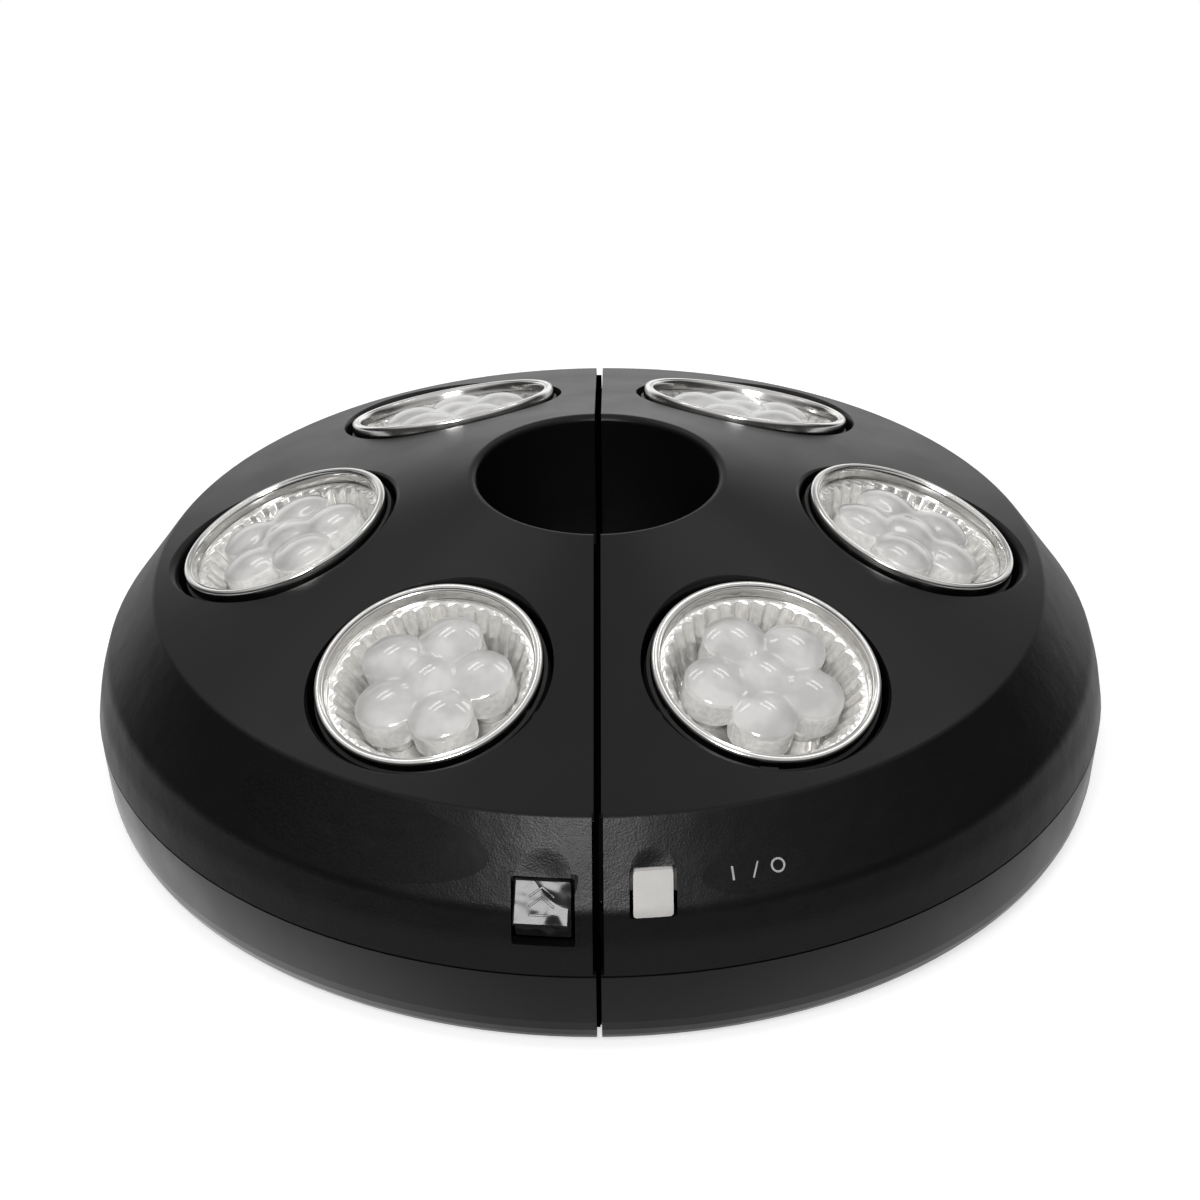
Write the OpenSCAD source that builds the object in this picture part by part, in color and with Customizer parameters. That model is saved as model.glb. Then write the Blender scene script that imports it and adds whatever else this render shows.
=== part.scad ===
// Clamp-on light for a patio umbrella pole: two hinged half casings with six swivelling lamp heads.
// The base lies on the ground plane and the pole hole runs up the Z axis. The buttons face -Y,
// the hinge is at +Y, and the two halves meet in the plane x = 0.

/* [Casing] */
// Widest diameter of the round casing
body_d = 240; // [236:1:250]
// Height at which the sloped top meets the wall of the pole hole, before the lip is rounded
body_h = 77.8; // [76:0.2:82]
// Height of the parting line between base shell and upper shell
parting_z = 21.8; // [21.2:0.2:23]
// Wall thickness of all four shells
wall = 2.4; // [2:0.1:2.8]
// Gap between the two halves on the sloped top
seam_gap = 1.6; // [1.2:0.1:2]
// Gap between the two upper shells on the front band
rim_gap = 2.4; // [2:0.1:3]
// Gap between the two base shells
base_gap = 1.1; // [0.9:0.1:1.4]
// Width and depth of the groove along the parting line
groove = 0.5; // [0.3:0.1:0.8]
// Distance from the widest point in to the crease below the sloped top
crease_in = 14.9; // [14:0.1:16]
// Height of the crease between the sloped top and the band
crease_z = 52.1; // [51:0.1:54]
// Distance from the widest point in to the shoulder of the band
shoulder_in = 3; // [2.6:0.1:3.4]
// Height of the soft shoulder in the band
shoulder_z = 35.5; // [34.6:0.1:36.4]
// Radius of the rounded bottom edge
base_round = 9.5; // [8:0.5:10]

/* [Pole hole and grip] */
// Diameter of the hole through the middle
hole_d = 56.4; // [55:0.2:58]
// Diameter of the thinnest pole that the pads grip
pole_d = 38.1; // [36:0.1:39]
// How far each jaw moves outwards for a thicker pole
jaw_travel = 5; // [3:0.5:5]
// Height of jaws and pads
jaw_h = 24; // [18:1:24]
// Thickness of the rubber pads
pad_t = 2; // [1.6:0.1:2.4]
// Half of the angle that each pad covers round the pole
pad_angle = 35; // [30:1:36]

/* [Lamp heads] */
// Diameter of the circle through the lamp centres
lamp_circle_d = 148.4; // [147:0.2:150]
// Outer diameter of the bezel ring
bezel_d = 51.5; // [50:0.1:52]
// Lean of a lamp at rest, away from the pole
lamp_tilt = 20.4; // [18:0.2:22]
// Gap round the bezel in its socket
socket_gap = 1.9; // [1.6:0.1:2.2]
// Depth of the tilt axis below the bezel's face
pivot_drop = 5.6; // [5.4:0.1:6]
// How far the bezel stands above the sloped top
bezel_proud = 0.5; // [0.2:0.1:1]
// Depth of a lamp head below its tilt axis
head_depth = 18; // [17:0.5:19]
// Wall of the lamp housing
head_wall = 1.8; // [1.5:0.1:2]
// Radius of the trunnion pins
trunnion_r = 1.8; // [1.5:0.1:2]
// Flutes in the reflector wall
flutes = 36; // [24:2:40]
// Depth of a flute
flute_depth = 0.9; // [0.5:0.1:1.1]
// Drawing in of the reflector wall for each millimetre of depth
reflector_taper = 0.45; // [0.4:0.01:0.5]

/* [Lens] */
// Radius of one dome and of the light guide under it
dome_r = 7.3; // [6.8:0.1:7.6]
// Distance of the outer domes from the lamp axis
dome_circle_r = 11.1; // [10.6:0.1:11.4]
// Outer domes
domes = 5; // [5:1:5]
// Sphere radius of the domed tops
dome_curve = 12; // [10:0.5:16]
// Angle of the first dome from the lamp's outward direction
dome_turn = -30; // [-36:1:36]

/* [Buttons] */
// Width of the on/off button
power_w = 8.4; // [7.6:0.1:9]
// Distance of the on/off button's middle from the seam
power_x = 11.6; // [11.2:0.1:12.4]
// Height of the on/off button's lower edge
power_z = 34.8; // [34.4:0.1:35.2]
// Height of the on/off button
power_h = 8.1; // [7:0.1:8.4]
// Travel of the on/off button
power_travel = 1.5; // [1:0.1:2]
// Width of the unlock button
unlock_w = 11.8; // [11:0.1:12]
// Distance of the unlock button's middle from the seam
unlock_x = 11.5; // [11.3:0.1:11.8]
// Height of the unlock recess's lower edge
unlock_z = 28.8; // [28.4:0.1:29.2]
// Height of the unlock recess
unlock_h = 12.8; // [12:0.1:13.2]
// Travel of the unlock button
unlock_travel = 2.5; // [2.3:0.1:2.6]
// Gap round the buttons in their recesses
button_gap = 0.8; // [0.5:0.1:0.9]
// How far the buttons stand out of the band
button_proud = 0.4; // [0.2:0.1:0.8]
// Depth of the finger dish above each button
dish_depth = 0.6; // [0.3:0.1:0.8]

/* [Hinge] */
// Distance from the widest point in to the hinge axis
hinge_in = 4.5; // [4.2:0.1:5]
// Radius of the hinge knuckles
knuckle_r = 4; // [3.6:0.1:4.2]
// Radius of the hinge pin
hinge_pin_r = 1.5; // [1.2:0.1:1.8]
// Half of the widest opening angle of the halves
hinge_half_angle = 40; // [35:1:45]

/* [Battery compartment] */
// Diameter of a cell
cell_d = 14.5; // [14:0.1:14.8]
// Length of a cell with its button
cell_l = 50.5; // [49.5:0.1:51]
// Distance of the compartment's inner side from the seam
bay_x = 59; // [58.5:0.1:60]

/* [Screws] */
// Radius of the screw shanks
screw_r = 1.3; // [1.1:0.1:1.5]
// Radius of the screw heads
screw_head_r = 2.8; // [2.5:0.1:3]

/* [Hidden] */
clear = 0.3;        // gap between pieces that slide or swing past each other
running = 0.05;     // radial gap of a pin in its bore
body_r = body_d / 2;
hole_r = hole_d / 2;
crease_r = body_r - crease_in;
shoulder_r = body_r - shoulder_in;
lip_round = 1.5;
crease_round = 1.8;
shoulder_round = 8;
bulge = 0.45;       // how far the lower band swells between shoulder and parting line
base_draw = 1.8;    // how far the base shell draws in down to the ground
hinge_y = body_r - hinge_in;
seat_in = 1.8;      // how far the raised seam face stays below the outer surface
base_seat_z = 5;    // height at which that face starts on the base

lamp_r = lamp_circle_d / 2;
top_slope = atan2(body_h - crease_z, crease_r - hole_r);
function top_z(r) = body_h - (r - hole_r) * tan(top_slope);
lamp_z = top_z(lamp_r) + bezel_proud;
bezel_r = bezel_d / 2;
ball_r = norm([bezel_r, pivot_drop]);
socket_r = bezel_r + socket_gap;
collar_t = 2.2;
collar_depth = 8;
trunnion_reach = socket_r + collar_t - 0.4;

RIGHT = ["right_front", "right_middle", "right_back"];
LEFT = ["left_front", "left_middle", "left_back"];
LAMPS = concat(RIGHT, LEFT);
lamp_angles = [30, 90, 150, -30, -90, -150];

$fn = 96;

// ---- outlines ----

function unit(v) = v / norm(v);
function left_of(v) = [-v.y, v.x];

// Points of the arc that rounds corner b between a and c
function corner_arc(a, b, c, r, n = 6) =
    r <= 0 ? [b] :
    let (u = unit(a - b), v = unit(c - b), half = acos(u * v) / 2,
         m = b + unit(u + v) * r / sin(half), p = b + u * r / tan(half), q = b + v * r / tan(half),
         a0 = atan2(p.y - m.y, p.x - m.x), a1 = atan2(q.y - m.y, q.x - m.x),
         turn = a1 - a0 > 180 ? a1 - a0 - 360 : a1 - a0 < -180 ? a1 - a0 + 360 : a1 - a0)
    [for (k = [0:n]) m + r * [cos(a0 + turn * k / n), sin(a0 + turn * k / n)]];

// A closed outline of [r, z, rounding] corners as points, moved inwards by d
function outline(c, d = 0) =
    let (n = len(c), p = [for (v = c) [v.x, v.y]],
         q = [for (i = [0:n - 1])
              let (e = left_of(unit(p[i] - p[(i + n - 1) % n])), f = left_of(unit(p[(i + 1) % n] - p[i])))
              p[i] + d * (e + f) / (1 + e * f)])
    [for (i = [0:n - 1])
     each corner_arc(q[(i + n - 1) % n], q[i], q[(i + 1) % n],
                     c[i].z > 0 ? max(c[i].z - d, 0.2) : 0)];

bulge_z = (parting_z + shoulder_z) / 2;
casing = [
    [hole_r, 0, 0],
    [body_r - base_draw, 0, base_round],
    [body_r, parting_z, 0],
    [(body_r + shoulder_r) / 2 + bulge, bulge_z, 30],
    [shoulder_r, shoulder_z, shoulder_round],
    [crease_r, crease_z, crease_round],
    [hole_r, body_h, lip_round]];

module casing_solid(inset = 0) { rotate_extrude() polygon(outline(casing, inset)); }

// ---- frames and small helpers ----

module right_of(x0) { translate([x0, -body_r - 1, -1]) cube([body_r + 1, body_d + 2, body_h + 2]); }
module above(z0) { translate([-body_r - 1, -body_r - 1, z0]) cube([body_d + 2, body_d + 2, body_h]); }
module on_side(s) { if (s < 0) mirror([1, 0, 0]) children(); else children(); }
module at_angle(a, r, z = 0) { rotate([0, 0, a - 90]) translate([r, 0, z]) children(); }
module at_lamp(a) { at_angle(a, lamp_r, lamp_z) rotate([0, lamp_tilt, 0]) children(); }
module block(x, y, z) { translate([x[0], y[0], z[0]]) cube([x[1] - x[0], y[1] - y[0], z[1] - z[0]]); }
module tube(r_out, r_in, z0, z1) {
    translate([0, 0, z0]) difference() {
        cylinder(r = r_out, h = z1 - z0);
        translate([0, 0, -1]) cylinder(r = r_in, h = z1 - z0 + 2);
    }
}
// A round-cornered block seen from the front, from depth y[0] to y[1]
module soft_block(x, y, z, r) {
    translate([0, y[1], 0]) rotate([90, 0, 0]) linear_extrude(y[1] - y[0])
        polygon(outline([[x[0], z[0], r], [x[1], z[0], r], [x[1], z[1], r], [x[0], z[1], r]]));
}
// A coil spring along +Z as one swept wire
module coil(r, wire, h, turns, rings = 8, sides = 6) {
    n = turns * rings;
    points = [for (i = [0:n]) for (k = [0:sides - 1])
        let (a = 360 * i / rings, b = 360 * k / sides)
        [(r + wire * cos(b)) * cos(a), (r + wire * cos(b)) * sin(a),
         wire + (h - 2 * wire) * i / n + wire * sin(b)]];
    sweep = [for (i = [0:n - 1]) for (k = [0:sides - 1])
        let (a = i * sides + k, b = i * sides + (k + 1) % sides)
        each [[a, b, a + sides], [b, b + sides, a + sides]]];
    ends = [for (k = [1:sides - 2]) each
        [[0, k + 1, k], [n * sides, n * sides + k, n * sides + k + 1]]];
    polyhedron(points, concat(sweep, ends));
}

// ---- screws and battery bay, shared by both halves ----

// [angle from the front, distance from the middle] of the posts in one half
post_in = hole_r + 13.8;
post_out = body_r - 22;
posts = [[45, post_in], [60, post_out], [120, post_out], [135, post_in]];
post_r = screw_head_r + 1.4;
screw_seat_z = 10;
screw_bite = 12;
screw_l = parting_z - screw_seat_z + screw_bite;
screw_head_h = 2;

bay_skirt = 1.8;
bay_wall = 1.6;
bay_x1 = bay_x + 2 * cell_d + 2 * bay_skirt;
bay_y = cell_l / 2 + 2.6;
door_ledge_z = 1.6;
cell_z = door_ledge_z + 0.9 + cell_d / 2;
bay_top = cell_z + cell_d / 2 + 0.4;
door_lap = 1.5;

// ---- pole grip ----

pole_r = pole_d / 2;
jaw_z0 = 12;
jaw_z = jaw_z0 + jaw_h / 2;
head_t = 2;
neck_y = 8;
neck_z = jaw_h / 2 - 3;
slide_y = 10.5;
slide_z = jaw_h / 2 - 1.2;
stop_x = hole_r + wall + 0.1;
slide_x = stop_x + clear;
slide_l = 5;
guide_x = slide_x + slide_l + jaw_travel + 9;
spring_r = 4;
spring_wire = 0.5;
spring_x = hole_r - 1;

module jaw_guide() {
    block([hole_r + 0.6, guide_x + 1.8], [-slide_y - clear - 1.8, slide_y + clear + 1.8],
          [jaw_z - slide_z - clear - 1.8, jaw_z + slide_z + clear + 1.8]);
}
module jaw_channel() {
    block([stop_x, guide_x], [-slide_y - clear, slide_y + clear],
          [jaw_z - slide_z - clear, jaw_z + slide_z + clear]);
    block([0, stop_x + 1], [-neck_y - clear, neck_y + clear],
          [jaw_z - neck_z - clear, jaw_z + neck_z + clear]);
}
module pad_sector(r_in, r_out) {
    translate([0, 0, jaw_z0]) rotate([0, 0, -pad_angle])
        rotate_extrude(angle = 2 * pad_angle) translate([r_in, 0]) square([r_out - r_in, jaw_h]);
}
module jaw() {
    color("#222224") {
        difference() {
            union() {
                pad_sector(pole_r + pad_t, pole_r + pad_t + head_t);
                difference() {
                    union() {
                        block([pole_r + 1, slide_x + 0.1], [-neck_y, neck_y],
                              [jaw_z - neck_z, jaw_z + neck_z]);
                        block([slide_x, slide_x + slide_l], [-slide_y, slide_y],
                              [jaw_z - slide_z, jaw_z + slide_z]);
                    }
                    translate([0, 0, jaw_z0 - 1]) cylinder(r = pole_r + pad_t + 0.1, h = jaw_h + 2);
                }
            }
            translate([spring_x, 0, jaw_z]) rotate([0, 90, 0]) cylinder(r = spring_r + 1.2, h = 40);
        }
    }
}
module jaw_pad() {
    color("#303032") pad_sector(pole_r, pole_r + pad_t);
}
module jaw_spring() {
    color("#b9bcc0") translate([spring_x + 0.05, 0, jaw_z]) rotate([0, 90, 0])
        coil(spring_r, spring_wire, guide_x - spring_x - 0.1, 8);
}

// ---- hinge ----

hinge_z = [5, 13, parting_z, parting_z + 8.6, parting_z + 17];
pin_head_lap = 0.8;
module at_hinge(z0, z1, r) { translate([0, hinge_y, z0]) cylinder(r = r, h = z1 - z0); }
// Material outside the axis is cut back so that the halves can swing
module hinge_notch() {
    reach = body_r + 2 - hinge_y;
    translate([0, 0, -1]) linear_extrude(body_h + 2)
        polygon([[-1, hinge_y], [0, hinge_y], [reach * tan(hinge_half_angle), hinge_y + reach],
                 [-1, hinge_y + reach]]);
}

// ---- latch and buttons ----

latch_z = [31, 37];
hook_y = 17.2 - body_r;
hook_t = 2.5;
hook_end = 12;
nose_w = 3.4;
nose_y = hook_y + hook_t + 2.7;
catch_y = nose_y + 1.4;
catch_t = 0.6;
catch_fixed_x = 44;
tooth_gap = 0.3;
tooth_bite = unlock_travel - clear - 0.4;

power_edge = [power_x - power_w / 2, power_x + power_w / 2];
unlock_edge = [unlock_x - unlock_w / 2, unlock_x + unlock_w / 2];
power_flange_y = 14.1 - body_r;
unlock_flange_y = 13 - body_r;
flange_t = 1.3;
flange_lap = 1.1;
hook_root_x = power_edge[0] - flange_lap - button_gap - clear;
recess_slack = 0.4;
step_z = unlock_z + 4.5;
step_in = 2.4;
stem_x = [13, 16.4];

switch_y = [23 - body_r, 28.8 - body_r];
switch_w = 7;
board_t = 1.6;
board_x = [5, 36];
board_z = [24, 46];

module power_recess() {
    soft_block([power_edge[0] - button_gap, power_edge[1] + button_gap], [-body_r - 2, power_flange_y + 3],
               [power_z - recess_slack, power_z + power_h + recess_slack], 0.8);
}
module unlock_recess(grow = 0) {
    soft_block([unlock_edge[0] - button_gap - grow, unlock_edge[1] + button_gap + grow],
               [-body_r - 2, unlock_flange_y + 3], [unlock_z - grow, unlock_z + unlock_h + grow], 0.5);
}

// Shallow finger dish in the band, w wide, with its deepest point at distance x from the seam and height z
module finger_dish(x, z, w) {
    r = shoulder_r - (shoulder_r - crease_r) * (z - shoulder_z) / (crease_z - shoulder_z);
    ball_d = w * w / 4 / dish_depth + dish_depth;
    rotate([0, 0, asin(x / r) - 90]) translate([r, 0, z])
        rotate([0, -atan2(shoulder_r - crease_r, crease_z - shoulder_z), 0])
            translate([ball_d / 2 - dish_depth, 0, 0]) sphere(d = ball_d);
}

// ---- shells ----

// Socket bearings, posts and jaw guide of one upper shell, before they are trimmed to the shell
module upper_inner_forms() {
    for (a = [30, 90, 150]) at_lamp(a) tube(socket_r + collar_t, socket_r - 0.5, -collar_depth, 6);
    for (p = posts) at_angle(p[0], p[1], parting_z) cylinder(r = post_r - 0.6, h = body_h);
    jaw_guide();
}
// The round opening over a lamp, with a rounded lip
module socket_cut() {
    lip = 2.2;
    rotate([0, top_slope - lamp_tilt, 0]) rotate_extrude()
        polygon([[0, -lip - 0.01], [socket_r, -lip - 0.01],
                 for (k = [0:8]) [socket_r + lip * (1 - cos(90 * k / 8)), lip * (sin(90 * k / 8) - 1)
                                  - bezel_proud + 0.15],
                 [socket_r + lip, 12], [0, 12]]);
    translate([0, 0, -collar_depth - 1]) cylinder(r = socket_r, h = collar_depth + 12);
    translate([0, 0, -pivot_drop]) rotate([90, 0, 0])
        cylinder(r = trunnion_r + running, h = 2 * trunnion_reach + 0.4, center = true);
}

module upper_half() {
    difference() {
        union() {
            difference() {
                intersection() {
                    casing_solid();
                    right_of(seam_gap / 2);
                    union() {
                        above(parting_z);
                        translate([0, 0, -1]) cylinder(r = hole_r + wall, h = parting_z + 2);
                    }
                }
                intersection() {
                    casing_solid(wall);
                    right_of(seam_gap / 2 + wall);
                }
            }
            intersection() {
                casing_solid(wall / 2);
                right_of(seam_gap / 2 + wall / 2);
                upper_inner_forms();
            }
        }
        for (a = [30, 90, 150]) at_lamp(a) socket_cut();
        jaw_channel();
        for (p = posts) at_angle(p[0], p[1], parting_z - 1) cylinder(r = screw_r, h = screw_bite + 2);
        // wider gap between the halves on the band
        block([0, rim_gap / 2], [-body_r - 1, 1 - crease_r], [-1, crease_z + 1]);
        hinge_notch();
    }
}

module base_half() {
    inner = hole_r + wall + clear;
    difference() {
        union() {
            difference() {
                intersection() {
                    casing_solid();
                    right_of(base_gap / 2);
                }
                intersection() {
                    casing_solid(wall);
                    right_of(base_gap / 2 + wall);
                }
            }
            for (p = posts) at_angle(p[0], p[1], wall / 2) cylinder(r = post_r, h = parting_z - wall / 2);
            block([bay_x - bay_wall, bay_x1 + bay_wall], [-bay_y - bay_wall, bay_y + bay_wall],
                  [wall / 2, bay_top + bay_wall]);
        }
        above(parting_z);
        translate([0, 0, -1]) cylinder(r = inner, h = body_h);
        block([bay_x, bay_x1], [-bay_y, bay_y], [-1, bay_top]);
        block([bay_x - door_lap, bay_x1 + door_lap], [-bay_y - door_lap, bay_y + door_lap],
              [-1, door_ledge_z]);
        for (p = posts) at_angle(p[0], p[1], -1) {
            cylinder(r = screw_r + clear, h = body_h);
            cylinder(r = screw_head_r + clear, h = screw_seat_z + 1);
        }
        rotate_extrude() translate([body_r - groove, parting_z - groove]) square([groove + 1, groove + 1]);
        hinge_notch();
    }
}

module right_upper_shell() {
    color("#2b2b2d") difference() {
        union() {
            difference() {
                upper_half();
                at_hinge(hinge_z[3] - clear / 2, body_h, knuckle_r + clear);
            }
            at_hinge(hinge_z[2] + clear / 2, hinge_z[3] - clear, knuckle_r);
            // latch hook that reaches across the seam, on its root block
            block([1, hook_root_x], [hook_y - 1.2, nose_y - 0.4], [latch_z[0] - 2, latch_z[1] + 2]);
            block([-hook_end, 2], [hook_y, hook_y + hook_t], latch_z);
            translate([0, 0, latch_z[0]]) linear_extrude(latch_z[1] - latch_z[0])
                polygon([[-hook_end, hook_y], [nose_w - hook_end, hook_y], [nose_w - hook_end, nose_y],
                         [nose_w - hook_end - 1, nose_y], [-hook_end, nose_y - 2]]);
            difference() {
                intersection() {
                    casing_solid(wall / 2);
                    union() {
                        board_rail(board_x[0] - 2.2, 1);
                        board_rail(board_x[1] - 1.4, 2.6);
                    }
                }
                at_lamp(30) ball(ball_r + 0.6);
            }
        }
        power_recess();
        finger_dish(power_x, power_z + power_h, power_w + 2 * button_gap);
        board_slot();
        at_hinge(0, body_h, hinge_pin_r + running);
    }
}
module board_rail(x, w) {
    block([x, x + w + 1.4], [switch_y[1] - 1.6, switch_y[1] + board_t + 1.6], [board_z[0] - 1, body_h]);
}
module board_slot() {
    block([board_x[0] - 0.2, board_x[1] + 0.2], [switch_y[1] - 0.1, switch_y[1] + board_t + 0.1],
          [board_z[0], board_z[1] + 0.2]);
}

// Raised face on the seam wall of the left half, which leaves only a narrow slot to the right half
module seam_seat(gap, z) {
    intersection() {
        casing_solid(seat_in);
        difference() {
            block([-gap / 2 - 1, gap / 2 - clear], [-body_r, hinge_y - knuckle_r - clear], z);
            translate([0, 0, -1]) cylinder(r = hole_r + wall + clear, h = parting_z + 1);
        }
    }
}

module left_upper_shell() {
    color("#2b2b2d") difference() {
        union() {
            seam_seat(seam_gap, [parting_z, body_h]);
            difference() {
                on_side(-1) upper_half();
                at_hinge(0, hinge_z[3] + clear / 2, knuckle_r + clear);
            }
            at_hinge(hinge_z[3] + clear, hinge_z[4], knuckle_r);
            // thin raised frame round the unlock recess
            on_side(-1) intersection() {
                difference() {
                    casing_solid(-0.35);
                    casing_solid(wall / 2);
                }
                unlock_recess(0.7);
            }
            // post that clamps the fixed end of the catch spring
            intersection() {
                casing_solid(wall / 2);
                on_side(-1) block([catch_fixed_x - 4, catch_fixed_x + 2],
                                  [catch_y - 3, catch_y + catch_t + 3], [latch_z[0] - 2, body_h]);
            }
        }
        on_side(-1) unlock_recess();
        on_side(-1) finger_dish(unlock_x, unlock_z + unlock_h, unlock_w + 2 * button_gap);
        on_side(-1) block([-1, wall + 2], [hook_y - 0.8, nose_y + 0.8], [latch_z[0] - 1, latch_z[1] + 1]);
        on_side(-1) block([-1, catch_fixed_x + 0.1], [catch_y - 0.05, catch_y + catch_t + 0.05],
                          [latch_z[0] - 1, latch_z[1] + 1]);
        at_hinge(0, body_h, hinge_pin_r);
        at_hinge(hinge_z[4], body_h, hinge_pin_r + pin_head_lap + clear);
    }
}

module right_base_shell() {
    color("#2f2f31") difference() {
        union() {
            difference() {
                base_half();
                at_hinge(-1, hinge_z[1] + clear / 2, knuckle_r + clear);
            }
            at_hinge(hinge_z[1] + clear, hinge_z[2] - clear / 2, knuckle_r);
        }
        at_hinge(0, body_h, hinge_pin_r + running);
    }
}

module left_base_shell() {
    color("#2f2f31") difference() {
        union() {
            seam_seat(base_gap, [base_seat_z, parting_z]);
            difference() {
                on_side(-1) base_half();
                at_hinge(hinge_z[1] - clear / 2, body_h, knuckle_r + clear);
            }
            at_hinge(hinge_z[0], hinge_z[1], knuckle_r);
        }
        at_hinge(0, body_h, hinge_pin_r);
    }
}

module hinge_pin() {
    color("#a9acb0") {
        at_hinge(hinge_z[0], hinge_z[4] + 0.2, hinge_pin_r);
        at_hinge(hinge_z[4], hinge_z[4] + 0.9, hinge_pin_r + pin_head_lap);
    }
}

module shell_screws() {
    color("#8f9296") for (p = posts) at_angle(p[0], p[1]) {
        translate([0, 0, screw_seat_z]) cylinder(r = screw_r, h = screw_l);
        difference() {
            translate([0, 0, screw_seat_z - screw_head_h]) cylinder(r = screw_head_r, h = screw_head_h);
            for (t = [0, 90]) rotate([0, 0, t])
                block([-0.64, 0.64] * screw_head_r, [-0.14, 0.14] * screw_head_r,
                      [screw_seat_z - screw_head_h - 1, screw_seat_z - 0.4 * screw_head_h]);
        }
    }
}

// ---- battery door, cells and contacts ----

module battery_door() {
    color("#2f2f31") {
        difference() {
            union() {
                block([bay_x - door_lap + clear, bay_x1 + door_lap - clear],
                      [-bay_y - door_lap + clear, bay_y + door_lap - clear], [0.3, door_ledge_z]);
                difference() {
                    block([bay_x + clear, bay_x1 - clear], [-bay_y + clear, bay_y - clear],
                          [door_ledge_z - 0.1, door_ledge_z + 2]);
                    block([bay_x + bay_skirt - 0.4, bay_x1 - bay_skirt + 0.4],
                          [-bay_y + bay_skirt - 0.4, bay_y - bay_skirt + 0.4], [0, 10]);
                }
            }
            // grip grooves and finger scoop
            for (i = [0:4]) translate([0, -2.4 * i, 0])
                block([bay_x + 6, bay_x1 - 6], [bay_y - 6, bay_y - 5], [0, 0.7]);
            translate([(bay_x + bay_x1) / 2, bay_y + door_lap, -6]) sphere(r = 7);
        }
    }
}
module cells() {
    color("#6d7a86") for (i = [0, 1])
        translate([bay_x + bay_skirt + cell_d * (i + 0.5), 0, cell_z]) rotate([i == 0 ? 90 : -90, 0, 0]) {
            translate([0, 0, -cell_l / 2]) cylinder(r = cell_d / 2 - 0.05, h = cell_l - 1);
            translate([0, 0, cell_l / 2 - 1]) cylinder(r = 2.7, h = 1);
        }
}
module contacts() {
    plate = 0.4;
    color("#c9cbcd") for (end = [-1, 1]) for (i = [0, 1]) {
        x = bay_x + bay_skirt + cell_d * (i + 0.5);
        plus = (i == 0) == (end < 0);
        on_end(end) {
            block([x - 5.6, x + 5.6], [bay_y - plate, bay_y], [cell_z - 5.5, cell_z + 5.5]);
            if (plus)
                translate([x, bay_y - plate, cell_z]) rotate([90, 0, 0])
                    cylinder(r1 = 3.2, r2 = 2.4, h = bay_y - plate - cell_l / 2 - 0.1);
            else
                translate([x, bay_y - plate / 2, cell_z]) rotate([90, 0, 0])
                    coil(3.4, 0.35, bay_y - plate / 2 - cell_l / 2 - 0.1, 2);
        }
    }
}
module on_end(s) { if (s < 0) mirror([0, 1, 0]) children(); else children(); }

// ---- latch pieces, buttons and switch ----

module unlock_button() {
    color("#1d1d1f") on_side(-1) {
        intersection() {
            difference() {
                casing_solid(-button_proud);
                translate([0, 0, unlock_z - 1]) difference() {
                    block([0, 40], [-body_r - 5, 0], [0, step_z - unlock_z + 1]);
                    translate([0, 0, 1 - unlock_z]) casing_solid(step_in);
                }
            }
            soft_block(unlock_edge, [-body_r - 2, unlock_flange_y + 0.1],
                       [unlock_z + recess_slack, unlock_z + unlock_h - recess_slack], 0.5);
        }
        block([unlock_edge[0] - flange_lap - button_gap, unlock_edge[1] + flange_lap + button_gap],
              [unlock_flange_y, unlock_flange_y + flange_t], [unlock_z - 0.9, unlock_z + unlock_h + 0.9]);
        block(stem_x, [unlock_flange_y + 1, catch_y - 0.3], [latch_z[0] + 1, latch_z[1] - 1]);
    }
}
module catch_spring() {
    color("#c2c5c9") on_side(-1) {
        tooth_x = hook_end - nose_w - tooth_gap;
        block([tooth_x - 0.8, catch_fixed_x], [catch_y, catch_y + catch_t], latch_z);
        block([tooth_x - 0.8, tooth_x], [nose_y - tooth_bite, catch_y + 0.1],
              [latch_z[0] + 0.5, latch_z[1] - 0.5]);
    }
}
module power_button() {
    color("#efeeec") {
        intersection() {
            casing_solid(-button_proud);
            soft_block(power_edge, [-body_r - 2, power_flange_y + 0.1], [power_z, power_z + power_h], 0.7);
        }
        block([power_edge[0] - flange_lap - button_gap, power_edge[1] + flange_lap + button_gap],
              [power_flange_y, power_flange_y + flange_t], [power_z - 1, power_z + power_h + 1]);
        translate([power_x, power_flange_y + 1, power_z + power_h / 2]) rotate([-90, 0, 0])
            cylinder(r = 1.5, h = switch_y[0] + 2 - power_flange_y - 1, $fn = 32);
    }
}
module push_switch() {
    color("#3b3b3e") difference() {
        block([power_x - switch_w / 2, power_x + switch_w / 2], switch_y,
              [power_z + (power_h - switch_w) / 2, power_z + (power_h + switch_w) / 2]);
        translate([power_x, switch_y[0] - 1, power_z + power_h / 2]) rotate([-90, 0, 0])
            cylinder(r = 1.5 + clear, h = 2 + power_travel + 1.5, $fn = 32);
    }
}
module control_board() {
    color("#2c5a3a") {
        block(board_x, [switch_y[1], switch_y[1] + board_t], board_z);
        // driver chip, capacitor and connector on the far side
        far_y = switch_y[1] + board_t;
        block([board_x[0] + 15, board_x[0] + 21], [far_y, far_y + 1.4], [board_z[0] + 4, board_z[0] + 8]);
        translate([board_x[1] - 6, far_y, board_z[1] - 6]) rotate([-90, 0, 0])
            cylinder(r = 2.5, h = 3.4, $fn = 32);
        block([board_x[0] + 4, board_x[0] + 12], [far_y, far_y + 3.2], [board_z[0] + 2, board_z[0] + 6]);
    }
}

// ---- lamp heads, each drawn in its own frame: +Z out of the lens, +X away from the pole ----

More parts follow.
